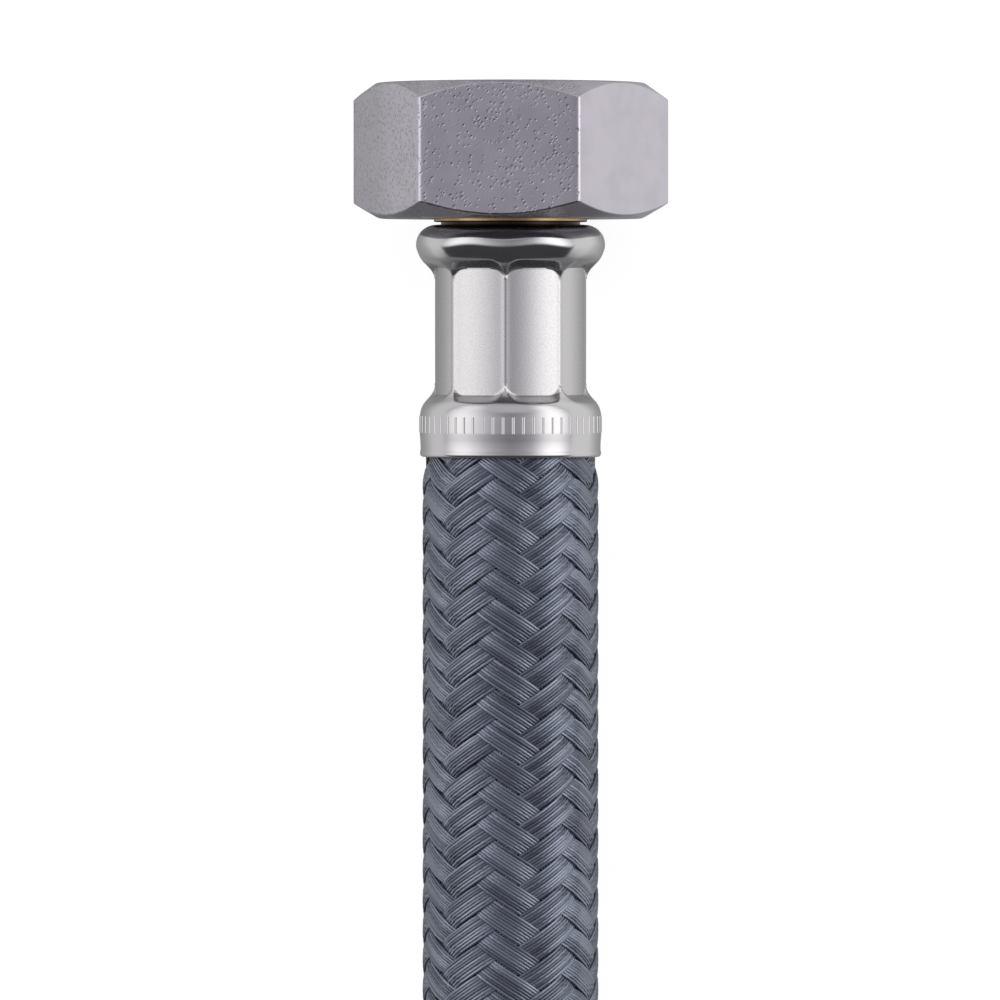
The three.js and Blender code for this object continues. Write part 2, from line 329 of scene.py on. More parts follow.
def makeNickel():
    material, tree, shader = newMaterial("nickelPlate", Metallic=1.0)
    grain = useGrain(tree, 5200.0)
    aside = objectParts(tree)["X"]
    before = (nutFinish["faceEdge"] - nutFinish["edgeBlur"]) * mm
    after = (nutFinish["faceEdge"] + nutFinish["edgeBlur"]) * mm
    roughAndShadedSide = mapRange(tree, aside, -before, -after)
    grainyAndShaded = mapRange(tree, aside, -nutFinish["grainyFrom"] * mm, -nutFinish["grainyTo"] * mm)
    smoother = mapRange(tree, aside, before, after)
    plate = mixColours(tree, grain["Patches"], nutFinish["plateDull"], nutFinish["plate"])
    slanted = nodeOut(tree, "ShaderNodeMapping", {"vector_type": "TEXTURE"}, Vector=objectPoint(tree),
                      Rotation=(0, 0, math.radians(nutFinish["pitSlantDegrees"])),
                      Scale=(nutFinish["pitStretch"], 1.0, 1.0))
    pits = addNode(tree, "ShaderNodeTexVoronoi", Vector=slanted, Scale=nutFinish["pitScale"])
    speckle = times(tree, mapRange(tree, pits.outputs["Distance"], 0.1, 0.5),
                   blendValues(tree, grainyAndShaded, 1.0, 0.6))
    # Painted shade: the faces on one side of the nut get a darker colour, darker still towards their outer
    # edge
    pittedAndShaded = mixColours(tree, speckle, nutFinish["castDark"], nutFinish["castLight"])
    paint(tree, shader, BaseColor=mixColours(tree, roughAndShadedSide, plate, pittedAndShaded))
    where = nodeOut(tree, "ShaderNodeTexNoise", Vector=objectPoint(tree), Scale=230.0, Detail=2.0)
    spread = mapRange(tree, where, 0.35, 0.65, nutFinish["fewPits"], nutFinish["manyPits"])
    size = calc(tree, "SUBTRACT", pits.outputs["Color"], spread)
    reach = calc(tree, "MAXIMUM", times(tree, size, 1.5), 0.001)
    deep = mapRange(tree, pits.outputs["Distance"], 0.0, reach, 1.0, 0.0)
    pitted = times(tree, deep, calc(tree, "SUBTRACT", smoother, 1.0))
    skin = blendValues(tree, grainyAndShaded, *nutFinish["skin"])
    height = plus(tree, pitted, times(tree, grain["Height"], skin))
    paint(tree, shader, Normal=bumpFrom(tree, height, 1.0, nutFinish["pitDepth"]))
    sheen = mapRange(tree, grain["Patches"], 0.0, 1.0, *nutFinish["sheen"])
    paint(tree, shader, Roughness=plus(tree, sheen, times(tree, roughAndShadedSide, nutFinish["rougherBy"])))
    return material


ferruleFinish = {
    "steel": colour(0.525, 0.515, 0.52),
    "pressedFrom": 4.3,  # stretch that the jaws left satin, from the rim
    "pressedTo": 18.9,
    "skirtRough": 0.2,
    "beadRough": 0.16,  # the bead is the most polished
    "pressedRough": 0.07,  # added where the jaws pressed
    "speckle": 0.05,
    "zoneBlur": 0.4,
    "grainDepth": 0.000012,
}


# Bright drawn steel, satin where the jaws pressed it
def makeSteel():
    material, tree, shader = newMaterial("drawnSteel", Metallic=1.0, BaseColor=ferruleFinish["steel"])
    grain = useGrain(tree, 7000.0)
    along = calc(tree, "ABSOLUTE", objectParts(tree)["Y"])
    zoneNear = (halfLength - rimAt - ferruleFinish["pressedTo"]) * mm
    zoneFar = (halfLength - rimAt - ferruleFinish["pressedFrom"]) * mm
    blur = ferruleFinish["zoneBlur"] * mm
    into = mapRange(tree, along, zoneNear - blur, zoneNear + blur)
    out = mapRange(tree, along, zoneFar - blur, zoneFar + blur, 1.0, 0.0)
    pressed = times(tree, into, out)
    onBead = mapRange(tree, along, zoneFar - blur, zoneFar + blur)
    plain = blendValues(tree, onBead, ferruleFinish["skirtRough"], ferruleFinish["beadRough"])
    rough = plus(tree, plain, times(tree, pressed, ferruleFinish["pressedRough"]))
    speckle = mapRange(tree, grain["Height"], 0.3, 0.7, -ferruleFinish["speckle"], ferruleFinish["speckle"])
    speckled = plus(tree, rough, times(tree, speckle, pressed))
    paint(tree, shader, Roughness=speckled)
    height = times(tree, grain["Height"], blendValues(tree, pressed, 0.1, 1.0))
    paint(tree, shader, Normal=bumpFrom(tree, height, 0.6, ferruleFinish["grainDepth"]))
    return material


brassFinish = {
    "dark": colour(0.42, 0.262, 0.124),
    "light": colour(0.62, 0.42, 0.22),
    "tarnish": colour(0.03, 0.022, 0.017),  # painted shade, in the groove beside the ferrule
    "tarnishEnd": 0.22,  # from the back of the nut
    "bumpDepth": 0.00001,
    "rough": (0.2, 0.3),
}


def makeBrass():
    material, tree, shader = newMaterial("turnedBrass", Metallic=1.0)
    grain = useGrain(tree, 3000.0, 8.0)
    base = mixColours(tree, grain["Patches"], brassFinish["dark"], brassFinish["light"])
    along = calc(tree, "ABSOLUTE", objectParts(tree)["Y"])
    # Painted shade: the brass deeper in the groove between the nut and the ferrule is near black
    edge = (halfLength - nutEnd - brassFinish["tarnishEnd"]) * mm
    outOfGrooveShade = mapRange(tree, along, edge - 0.1 * mm, edge + 0.05 * mm)
    paint(tree, shader, BaseColor=mixColours(tree, outOfGrooveShade, brassFinish["tarnish"], base))
    paint(tree, shader, Normal=bumpFrom(tree, grain["Height"], 0.5, brassFinish["bumpDepth"]))
    paint(tree, shader, Roughness=mapRange(tree, grain["Patches"], 0.0, 1.0, *brassFinish["rough"]))
    return material


sealFinish = {
    "grain": 2600.0,
    "dark": colour(0.02, 0.021, 0.023),
    "light": colour(0.035, 0.036, 0.039),
    "bump": 0.8,
    "bumpDepth": 0.00003,
    "smoothest": 0.6,
    "roughest": 0.75,
}

rubberFinish = {
    "grain": 1800.0,
    "dark": colour(0.012, 0.012, 0.013),
    "light": colour(0.02, 0.02, 0.022),
    "bump": 0.6,
    "bumpDepth": 0.00002,
    "smoothest": 0.5,
    "roughest": 0.65,
}


def makeDull(name, finish):
    material, tree, shader = newMaterial(name)
    grain = useGrain(tree, finish["grain"])
    patches = grain["Patches"]
    paint(tree, shader, BaseColor=mixColours(tree, patches, finish["dark"], finish["light"]))
    paint(tree, shader, Normal=bumpFrom(tree, grain["Height"], finish["bump"], finish["bumpDepth"]))
    rough = mapRange(tree, patches, 0.0, 1.0, finish["smoothest"], finish["roughest"])
    paint(tree, shader, Roughness=rough)
    return material


strandFinish = {
    "dark": colour(0.09, 0.102, 0.138),
    "light": colour(0.236, 0.262, 0.33),
    "flatness": 1.05,
    "rough": (0.09, 0.16),
}


def makeStrandPlastic():
    # Grey pearly plastic: each filament has its own tone, with slow changes along it
    material, tree, shader = newMaterial("strandPlastic", IOR=1.56, Metallic=0.55)
    tone = addNode(tree, "ShaderNodeAttribute", {"attribute_name": "tone"}).outputs["Fac"]
    slow = nodeOut(tree, "ShaderNodeTexNoise", Vector=objectPoint(tree), Scale=260.0, Detail=2.0)
    fine = nodeOut(tree, "ShaderNodeTexNoise", Vector=objectPoint(tree), Scale=5200.0, Detail=2.0)
    mixed = plus(tree, times(tree, tone, 0.6), times(tree, slow, 0.5))
    base = mixColours(tree, mapRange(tree, mixed, 0.2, 0.9), strandFinish["dark"], strandFinish["light"])
    paint(tree, shader, BaseColor=base)
    paint(tree, shader, Roughness=mapRange(tree, fine, 0.3, 0.7, *strandFinish["rough"]))
    # The flat outer side of each filament shows through its rounded shading
    shape = tree.nodes.new("ShaderNodeNewGeometry").outputs
    flat = nodeOut(tree, "ShaderNodeVectorMath", {"operation": "SCALE"}, Vector=shape["True Normal"],
                   Scale=strandFinish["flatness"])
    shown = calc(tree, "ADD", shape["Normal"], flat, kind="ShaderNodeVectorMath")
    paint(tree, shader, Normal=calc(tree, "NORMALIZE", shown, kind="ShaderNodeVectorMath"))
    return material


# Free hose: rubber tube with the braid's strands woven round it

hose = {
    "boreRadius": 6.5,
    "radius": 8.74,
    "gripRadius": 5.8,
    "crimpedRadius": 7.12,
    "beadSqueeze": 0.3,
    "skirtSqueeze": 0.4,
    "beadEnd": 2.2,  # from the ferrule's rim, as the next three
    "panelStart": 4.15,
    "panelEnd": 18.7,
    "skirtStart": 20.8,
    "squeezeLength": 2.6,
    "sides": 96,
    "diameter": 19.1,
}


def bothHalves(half):
    return half + [(radius, 2 * halfLength - along) for radius, along in reversed(half)]


def layerOutline(free, crimped):
    held = free - hose["skirtSqueeze"]
    return bothHalves([
        (free - hose["beadSqueeze"], hoseStart),
        (free - hose["beadSqueeze"], rimAt + hose["beadEnd"]),
        (crimped, rimAt + hose["panelStart"]),
        (crimped, rimAt + hose["panelEnd"]),
        (held, rimAt + hose["skirtStart"]),
        (held, skirtEnd),
        (free, skirtEnd + hose["squeezeLength"]),
    ])


def makeHoseTube():
    outer = layerOutline(hose["radius"], hose["crimpedRadius"])
    inner = bothHalves([
        (hose["boreRadius"], hoseStart),
        (hose["boreRadius"], rimAt + hose["beadEnd"]),
        (hose["gripRadius"], rimAt + hose["panelStart"]),
        (hose["gripRadius"], rimAt + hose["panelEnd"]),
        (hose["boreRadius"], rimAt + hose["skirtStart"]),
    ])
    draft, _ = skinRings(turnedRings(outer + inner[::-1], hose["sides"]))
    mesh = finishMesh(draft, "hose_tube", sharpDegrees=40)
    rubber = makeDull("hoseRubber", rubberFinish)
    return placePiece("hose_tube", mesh, rubber, "hose", "inner_hose")


braid = {
    "carriers": 12,  # flat strands each way round
    "filaments": 8,  # in each strand
    "lead": 39.2,  # mm along the hose for one turn
    "middleRadius": 9.2,
    "wave": 0.27,
    "filamentWidth": 0.308,
    "spacing": 0.318,  # between filaments, across the strand
    "crown": 0.09,  # how much lower the outermost filaments of a strand lie
    "columnDegrees": 2.7,  # where falling strands come to the top
    "floatAlong": 104.7,  # middle of one such float, from the middle of the hose
    "stepsPerTurn": 72,
    "sides": 4,
    "insideSkirt": 4.4,  # how far the loose strands run on inside the ferrule
    "squeeze": 0.36,
    "squeezeOver": 3.4,
    "wander": 0.05,
    "driftPerStrand": 3.7,  # how fast the wandering changes from filament to filament
    "driftPerMetre": 160.0,  # and along the hose
    "plateau": 0.75,  # share of the swing past which a strand lies flat
    "flatShare": 0.86,
    "pressedLift": 0.07,  # inside of the pressed braid, over the free hose and over the crimped one
    "crimpedLift": 0.05,
    "pressedThickness": [0.5, 0.5, 0.28, 0.28, 0.5, 0.5],
    "overlap": 0.2,  # how far the pressed braid reaches past the ends of the loose strands
}


# A geometry tree with its inputs, as names joined by commas for each kind of socket
def openTree(name, **kinds):
    tree = bpy.data.node_groups.new(name, "GeometryNodeTree")
    for kind, names in kinds.items():
        for label in names.split(", "):
            newSocket(tree, label, "NodeSocket" + kind)
    newSocket(tree, "Material", "NodeSocketMaterial")
    newSocket(tree, "Geometry", "NodeSocketGeometry", output=True)
    return tree, tree.nodes.new("NodeGroupInput").outputs


def closeTree(tree, geometry, material):
    whole = nodeOut(tree, "GeometryNodeRealizeInstances", Geometry=geometry)
    painted = nodeOut(tree, "GeometryNodeSetMaterial", Geometry=whole, Material=material)
    addNode(tree, "NodeGroupOutput", Geometry=painted)
    return tree


# Half of one hand's strands: filaments drawn along the hose, then laid round it and woven two over two
def makeBraidTree():
    tree, given = openTree(
        "wovenStrands",
        Int="First Carrier, Made Carriers, Carriers, Filaments, Steps, Sides, Seed",
        Float="Hand, Half Run, Lead, Axis Height, Middle Radius, Wave, Filament Width, Crown, Spacing Angle, "
        "First Angle, Column Angle, Squeeze, Squeeze From, Squeeze To, Wander Angle",
    )

    def sums(operation, *values):
        return calc(tree, operation, *values)

    # One straight filament, and a point for each filament that is wanted
    start = nodeOut(tree, "ShaderNodeCombineXYZ", Y=times(tree, given["Half Run"], -1.0))
    end = nodeOut(tree, "ShaderNodeCombineXYZ", Y=given["Half Run"])
    line = nodeOut(tree, "GeometryNodeCurvePrimitiveLine", Start=start, End=end)
    fine = nodeOut(tree, "GeometryNodeResampleCurve", Curve=line, Count=given["Steps"])
    wanted = times(tree, given["Made Carriers"], given["Filaments"])
    points = nodeOut(tree, "GeometryNodeMeshLine", Count=wanted, Offset=(0, 0, 0))
    placed = nodeOut(tree, "GeometryNodeInstanceOnPoints", Points=points, Instance=fine)
    index = tree.nodes.new("GeometryNodeInputIndex").outputs[0]

    def store(geometry, name, value):
        return nodeOut(tree, "GeometryNodeStoreNamedAttribute", {"data_type": "FLOAT", "domain": "INSTANCE"},
                       Geometry=geometry, Name=name, Value=value)

    chance = addNode(tree, "FunctionNodeRandomValue", {"data_type": "FLOAT"}, ID=index, Seed=given["Seed"])
    toned = store(store(placed, "strand", index), "tone", chance.outputs[1])
    curves = nodeOut(tree, "GeometryNodeRealizeInstances", Geometry=toned)

    # Where each filament point goes
    strand = nodeOut(tree, "GeometryNodeInputNamedAttribute", {"data_type": "FLOAT"}, Name="strand")
    place = tree.nodes.new("GeometryNodeInputPosition").outputs[0]
    along = addNode(tree, "ShaderNodeSeparateXYZ", Vector=place).outputs["Y"]
    ownCarrier = sums("FLOOR", sums("DIVIDE", plus(tree, strand, 0.5), given["Filaments"]))
    carrier = plus(tree, ownCarrier, given["First Carrier"])
    filament = sums("SUBTRACT", strand, times(tree, ownCarrier, given["Filaments"]))
    middle = times(tree, sums("SUBTRACT", given["Filaments"], 1.0), 0.5)
    aside = times(tree, sums("SUBTRACT", filament, middle), given["Spacing Angle"])
    carrierAngle = plus(tree, given["First Angle"],
                        sums("DIVIDE", times(tree, carrier, turnRound), given["Carriers"]))
    drift = nodeOut(tree, "ShaderNodeCombineXYZ", X=times(tree, strand, braid["driftPerStrand"]),
                    Y=times(tree, along, braid["driftPerMetre"]), Z=given["Seed"])
    noise = nodeOut(tree, "ShaderNodeTexNoise", Vector=drift, Scale=1.0, Detail=1.0)
    wander = times(tree, sums("SUBTRACT", noise, 0.5), given["Wander Angle"])
    ownAngle = plus(tree, plus(tree, carrierAngle, aside), wander)
    perLength = sums("DIVIDE", turnRound, given["Lead"])
    turned = times(tree, times(tree, perLength, given["Hand"]), along)
    angle = plus(tree, ownAngle, turned)
    # The strands of the other hand that are crossed on the way
    crossed = plus(tree, ownAngle, times(tree, turned, 2.0))
    fromColumn = sums("SUBTRACT", plus(tree, crossed, carrierAngle),
                      times(tree, given["Column Angle"], 2.0))
    swing = sums("COSINE", times(tree, fromColumn, sums("DIVIDE", given["Carriers"], 4.0)))
    clipped = sums("MAXIMUM", sums("MINIMUM", sums("DIVIDE", swing, braid["plateau"]), 1.0), -1.0)
    flat = sums("SINE", times(tree, clipped, math.pi / 2))
    shape = plus(tree, times(tree, flat, braid["flatShare"]), times(tree, swing, 1 - braid["flatShare"]))
    lift = times(tree, shape, given["Wave"])
    held = mapRange(tree, sums("ABSOLUTE", along), given["Squeeze From"], given["Squeeze To"])
    fromMiddle = sums("DIVIDE", sums("SUBTRACT", filament, middle), middle)
    crown = times(tree, times(tree, fromMiddle, fromMiddle), given["Crown"])
    lowered = plus(tree, times(tree, held, given["Squeeze"]), crown)
    radius = sums("SUBTRACT", plus(tree, given["Middle Radius"], lift), lowered)
    laid = nodeOut(tree, "ShaderNodeCombineXYZ", X=times(tree, radius, sums("SINE", angle)), Y=along,
                   Z=plus(tree, given["Axis Height"], times(tree, radius, sums("COSINE", angle))))
    woven = nodeOut(tree, "GeometryNodeSetPosition", Geometry=curves, Position=laid)

    # Square section with a flat side outwards: smooth shading makes it look round, and it leaves
    # no deep gaps
    nowAt = tree.nodes.new("GeometryNodeInputPosition").outputs[0]
    parts = addNode(tree, "ShaderNodeSeparateXYZ", Vector=nowAt).outputs
    outward = nodeOut(tree, "ShaderNodeCombineXYZ", X=parts["X"],
                      Z=sums("SUBTRACT", parts["Z"], given["Axis Height"]))
    unit = calc(tree, "NORMALIZE", outward, kind="ShaderNodeVectorMath")
    normals = nodeOut(tree, "GeometryNodeSetCurveNormal", {"mode": "FREE"}, Curve=woven, Normal=unit)
    section = nodeOut(tree, "GeometryNodeCurvePrimitiveCircle", Resolution=given["Sides"],
                      Radius=sums("DIVIDE", given["Filament Width"], math.sqrt(2)))
    flatUp = nodeOut(tree, "GeometryNodeTransform", Geometry=section, Rotation=(0, 0, math.radians(45)))
    tubes = nodeOut(tree, "GeometryNodeCurveToMesh", Curve=normals, ProfileCurve=flatUp, FillCaps=True)
    shaded = nodeOut(tree, "GeometryNodeSetShadeSmooth", Geometry=tubes)
    return closeTree(tree, shaded, given["Material"])


# The tree's result as a plain mesh
def runTree(name, tree, values):
    holder = newObject(name + "Holder", bpy.data.meshes.new(name + "Holder"))
    modifier = holder.modifiers.new(name, "NODES")
    modifier.node_group = tree
    for item in tree.interface.items_tree:
        if item.in_out == "INPUT" and item.name in values:
            modifier[item.identifier] = values[item.name]
    evaluated = holder.evaluated_get(bpy.context.evaluated_depsgraph_get())
    mesh = bpy.data.meshes.new_from_object(evaluated)
    bpy.data.objects.remove(holder)
    mesh.name = name
    return mesh


def makeBraid(material):
    tree = makeBraidTree()
    count = braid["carriers"]
    perMm = turnRound / braid["lead"]
    column = math.radians(braid["columnDegrees"])
    between = turnRound / count
    # A falling strand is on top in its own column at floatAlong; the rising ones follow from the weave
    falling = column + perMm * braid["floatAlong"]
    rising = 2 * column + between / 2 - falling
    slant = math.atan2(braid["lead"], turnRound * braid["middleRadius"])
    spacingAngle = braid["spacing"] / (braid["middleRadius"] * math.sin(slant))
    freeEnd = halfLength - skirtEnd
    halfRun = freeEnd + braid["insideSkirt"]
    steps = round(2 * halfRun / braid["lead"] * braid["stepsPerTurn"])
    pieces = []
    hands = ((1, "rising", rising, column + between), (-1, "falling", falling, column))
    for hand, word, first, topAt in hands:
        for part in (0, 1):
            name = f"{word}_strands_{part + 1}"
            mesh = runTree(name, tree, {
                "First Carrier": part * count // 2, "Made Carriers": count // 2, "Carriers": count,
                "Filaments": braid["filaments"], "Steps": steps, "Sides": braid["sides"],
                "Seed": 11 + part + (5 if hand > 0 else 0), "Hand": float(hand), "Half Run": halfRun * mm,
                "Lead": braid["lead"] * mm, "Axis Height": axisHeight * mm,
                "Middle Radius": braid["middleRadius"] * mm, "Wave": braid["wave"] * mm,
                "Filament Width": braid["filamentWidth"] * mm, "Spacing Angle": spacingAngle,
                "Crown": braid["crown"] * mm,
                "First Angle": first, "Column Angle": topAt, "Squeeze": braid["squeeze"] * mm,
                "Squeeze From": (freeEnd - braid["squeezeOver"]) * mm, "Squeeze To": freeEnd * mm,
                "Wander Angle": spacingAngle * braid["wander"] / braid["spacing"] * 2, "Material": material,
            })
            print(name, len(mesh.polygons), "faces")
            pieces.append(placePiece(name, mesh, material, "hose"))
    return pieces


# The stretch of braid that the ferrule has pressed flat, from the loose strands to its cut end
def makeCrimpedBraid(end, material):
    free, crimped = hose["radius"] + braid["pressedLift"], hose["crimpedRadius"] + braid["crimpedLift"]
    held = layerOutline(free, crimped)[:6]
    cutAt = skirtEnd - braid["insideSkirt"] - braid["overlap"]
    inner = [(r, s) for r, s in held if s < cutAt] + [(held[4][0], cutAt)]
    outer = [(r + t, s) for (r, s), t in zip(inner, braid["pressedThickness"])]
    draft, _ = skinRings(turnedRings(outer + inner[::-1], hose["sides"] // 2))
    mesh = finishMesh(draft, f"pressed_braid_{end}", sharpDegrees=40)
    if end == "b":
        mesh.transform(halfTurn)
    return placePiece(f"pressed_braid_{end}", mesh, material, "hose")


hoseTube = makeHoseTube()
strandPlastic = makeStrandPlastic()
strandPieces = makeBraid(strandPlastic)
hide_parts("braided_sleeve")
pressedPieces = [makeCrimpedBraid(end, strandPlastic) for end in "ab"]
print("hose and braid made")


# Crimped ferrule

ferrule = {
    "wall": 0.4,
    "length": skirtEnd - rimAt,
    "holeRadius": 7.7,
    "beadCorner": 2.2,
    "beadRadius": 10.32,
    "skirtRadius": 9.93,
    "skirtWaist": 0.1,
    "waistFrom": 22.3,
    "waistTo": 24.2,
    "curl": 0.06,  # the skirt's edge turns out a little
    "curlFrom": 24.5,
    "curlTo": 24.8,
    "lip": [(0.22, 0.02), (0.13, 0.06), (0.06, 0.12), (0.0, 0.24)],  # edge, as (from the end, lower by)
    "jaws": 8,
    "faceRadius": 7.94,
    "faceCurve": 14,
    "ridgeHeight": 0.06,
    "ridgeWidth": 0.3,
    "turnDegrees": 0.7,
    "slope": 1.8,  # of the jaws' chamfered ends
    "panelStart": 4.72,
    "panelEnd": 18.55,
    "cornerWidth": 1.5,  # rounding of the jaws' corners, round the hose
    "cornerLength": 1.25,  # and along it
    "blend": 0.14,
    "beadLean": 0.3,  # how much sooner the bead falls away in front of a jaw than between two
    "leanIn": (0.2, 1.4),
    "leanOut": (4.5, 6.5),
    "jawsFrom": 2.6,  # the jaws leave the cup alone before this and after the next
    "jawsTo": 21.3,
    "stepsPerJaw": 26,
    "stepEasing": 0.06,  # finer steps beside the ridges
}

# How the cup would look between two jaws, as (from the rim, radius)
cupShape = [
    (2.2, 10.32), (2.5, 10.30), (2.75, 10.23), (3.19, 10.07), (3.62, 9.87), (4.06, 9.55), (4.5, 9.09),
    (4.93, 8.70), (5.37, 8.45), (5.8, 8.34), (6.4, 8.35), (7.2, 8.40), (12.0, 8.40), (16.4, 8.40),
    (17.1, 8.34), (17.7, 8.30), (18.03, 8.37), (18.36, 8.54), (18.7, 8.77), (19.0, 9.05), (19.34, 9.36),
    (19.67, 9.58), (20.0, 9.74), (20.4, 9.85), (20.8, 9.91), (21.2, 9.93), (22.7, 9.93),
]


def cupRadius(along):
    corner = ferrule["beadCorner"]
    if along <= corner:
        rise = math.sqrt(max(0, corner ** 2 - (corner - along) ** 2))
        return ferrule["beadRadius"] - corner + rise
    if along >= cupShape[-1][0]:
        waist = ferrule["skirtWaist"] * ramp(along, ferrule["waistFrom"], ferrule["waistTo"])
        curl = ferrule["curl"] * ramp(along, ferrule["curlFrom"], ferrule["curlTo"])
        return ferrule["skirtRadius"] - waist + curl
    for (x0, y0), (x1, y1) in zip(cupShape, cupShape[1:]):
        if along <= x1:
            return y0 + (y1 - y0) * (along - x0) / (x1 - x0)


# Radius that a jaw leaves, fromRidge in radians
def jawRadius(along, fromRidge):
    setBack = ferrule["faceCurve"] - ferrule["faceRadius"]
    fromMiddle = math.pi / ferrule["jaws"] - fromRidge
    reach = math.sqrt(ferrule["faceCurve"] ** 2 - (setBack * math.sin(fromMiddle)) ** 2)
    dome = reach - setBack * math.cos(fromMiddle)
    aside = fromRidge * ferrule["faceRadius"]
    ridge = ferrule["ridgeHeight"] * math.exp(-((aside / ferrule["ridgeWidth"]) ** 2))
    t = min(1, aside / ferrule["cornerWidth"])
    corner = ferrule["cornerLength"] * (1 - math.sqrt(max(0, 1 - (1 - t) ** 2)))
    before = max(0, ferrule["panelStart"] + corner - along)
    after = max(0, along - (ferrule["panelEnd"] - corner))
    return dome + ridge + ferrule["slope"] * (before + after)


def softMin(a, b, blend):
    h = max(0, min(1, 0.5 + (b - a) / (2 * blend)))
    return b + (a - b) * h - blend * h * (1 - h)


def ferruleRadius(along, angle):
    pitch = turnRound / ferrule["jaws"]
    turn = angle - math.radians(ferrule["turnDegrees"])
    fromRidge = abs(turn - pitch * round(turn / pitch))
    facing = math.sin(fromRidge * ferrule["jaws"] / 2) ** 2
    lean = ferrule["beadLean"] * facing * ramp(along, *ferrule["leanIn"])
    lean *= 1 - ramp(along, *ferrule["leanOut"])
    cup = cupRadius(along + lean)
    if along <= ferrule["jawsFrom"] or along >= ferrule["jawsTo"]:
        return cup
    return softMin(cup, jawRadius(along, fromRidge), ferrule["blend"])


def makeFerrule():
    jaws, per = ferrule["jaws"], ferrule["stepsPerJaw"]
    pitch = turnRound / jaws
    angles = []
    for jaw in range(jaws):
        for i in range(per):
            t = i / per
            eased = t - ferrule["stepEasing"] * math.sin(turnRound * t)
            angles.append(math.radians(ferrule["turnDegrees"]) + pitch * (jaw + eased))
    corner = ferrule["beadCorner"]
    stations = [corner * (1 - math.cos(math.pi / 2 * i / 10)) for i in range(11)]
    stations += [2.4, 2.6]
    stations += [2.75 + 0.14 * i for i in range(28)]
    stations += [6.9, 7.6, 8.6, 10, 11.5, 13, 14.5, 15.6, 16.2]
    stations += [16.55 + 0.14 * i for i in range(34)]
    stations += [21.4, 22.0, 22.4, 22.6, 22.8, 23.0, 23.2, 23.4]
    stations += [23.7, 24.2, 24.5, 24.6, 24.7, 24.8, 24.95]
    length, wall = ferrule["length"], ferrule["wall"]
    outer = [[(ferruleRadius(s, a), rimAt + s, a) for a in angles] for s in stations]
    for back, drop in ferrule["lip"]:
        outer.append([(ferruleRadius(length, a) - drop, rimAt + length - back, a) for a in angles])
    insideAt = [25.3, 22, 21.0, 20.2, 19.6, 19.0, 18.4, 17.8, 17.2]
    insideAt += [12, 6.4, 5.8, 5.2, 4.6, 4.0, 3.4, 2.7, 2.2]
    inner = [[(ferruleRadius(s, a) - wall, rimAt + s, a) for a in angles] for s in insideAt]
    for turn in (30, 60, 90):
        reach = (corner - wall) * math.cos(math.radians(turn))
        place = corner - (corner - wall) * math.sin(math.radians(turn))
        inner.append([(ferrule["beadRadius"] - corner + reach, rimAt + place, a) for a in angles])
    inner.append([(ferrule["holeRadius"], rimAt + wall, a) for a in angles])
    rim = [[(ferrule["holeRadius"], rimAt, a) for a in angles]]
    draft, _ = skinRings(rim + outer + inner)
    return finishMesh(draft, "crimp_ferrule", sharpDegrees=50)


steel = makeSteel()
ferrulePieces = bothEnds("crimp_ferrule", makeFerrule(), steel, hoseBody)


# Ring of plain raised ticks round the skirt

ticks = {"count": 56, "length": 1.8, "middle": 21.75, "radius": 0.2, "rise": 0.06, "sides": 20}


def makeTickTree():
    tree, given = openTree("skirtTicks", Int="Count, Sides",
                           Float="Length, Radius, Ring Radius, Ring Place, Axis Height")
    points = nodeOut(tree, "GeometryNodeMeshLine", Count=given["Count"], Offset=(0, 0, 0))
    index = tree.nodes.new("GeometryNodeInputIndex").outputs[0]
    angle = calc(tree, "DIVIDE", times(tree, index, turnRound), given["Count"])
    across = times(tree, given["Ring Radius"], calc(tree, "SINE", angle))
    up = times(tree, given["Ring Radius"], calc(tree, "COSINE", angle))
    place = nodeOut(tree, "ShaderNodeCombineXYZ", X=across, Y=given["Ring Place"],
                    Z=plus(tree, up, given["Axis Height"]))
    ring = nodeOut(tree, "GeometryNodeSetPosition", Geometry=points, Position=place)
    bar = nodeOut(tree, "GeometryNodeMeshCylinder", Vertices=given["Sides"], Radius=given["Radius"],
                  Depth=given["Length"])
    lying = nodeOut(tree, "GeometryNodeTransform", Geometry=bar, Rotation=(math.pi / 2, 0, 0))
    marks = nodeOut(tree, "GeometryNodeInstanceOnPoints", Points=ring, Instance=lying)
    return closeTree(tree, marks, given["Material"])


def makeTicks(material):
    mesh = runTree("skirt_ticks", makeTickTree(), {
        "Count": ticks["count"], "Sides": ticks["sides"], "Length": ticks["length"] * mm,
        "Radius": ticks["radius"] * mm,
        "Ring Radius": (ferrule["skirtRadius"] + ticks["rise"] - ticks["radius"]) * mm,
        "Ring Place": (halfLength - rimAt - ticks["middle"]) * mm,
        "Axis Height": axisHeight * mm, "Material": material,
    })
    mesh.shade_smooth()
    mesh.set_sharp_from_angle(angle=math.radians(50))
    return [placePiece(f"skirt_ticks_{end}", shape, material, "hose")
            for end, shape in endPair(mesh)]


tickPieces = makeTicks(steel)
print("ferrules made")


# Swivel nut

nut = {
    "acrossFlats": 30,
    "length": nutEnd,
    "mouthCircle": 14.66,  # radius where the outer chamfer meets the mouth's face
    "mouthDegrees": 36,
    "backCircle": 14.4,
    "backDegrees": 31,
    "webThickness": 3.1,
    "holeRadius": 8.67,
    "holeBreak": 0.3,
    "minorRadius": 12.06,
    "majorRadius": 13.22,
    "reliefRadius": 13.3,
    "reliefLength": 2.4,
    "mouthRadius": 13.4,
    "mouthChamfer": 1.2,
    "pitch": 1.814,
    "threadFade": (-0.2, 0.5),  # about the start of the relief
    "crestFlat": 0.08,
    "crestRound": 0.35,  # share of the rounded form in the vee
    "rowsPerPitch": 10,
    "stepsPerFace": 20,
    "cornerRound": 0.34,
    "arcRound": 0.16,
    # how the chamfers run over into the end faces: past the circle, and from the face
    "mouthBlend": [(-0.26, 0), (-0.05, 0.03), (0.13, 0.12)],
    "backBlend": [(0.2, 0.15), (-0.1, 0.04), (-0.45, 0)],
}


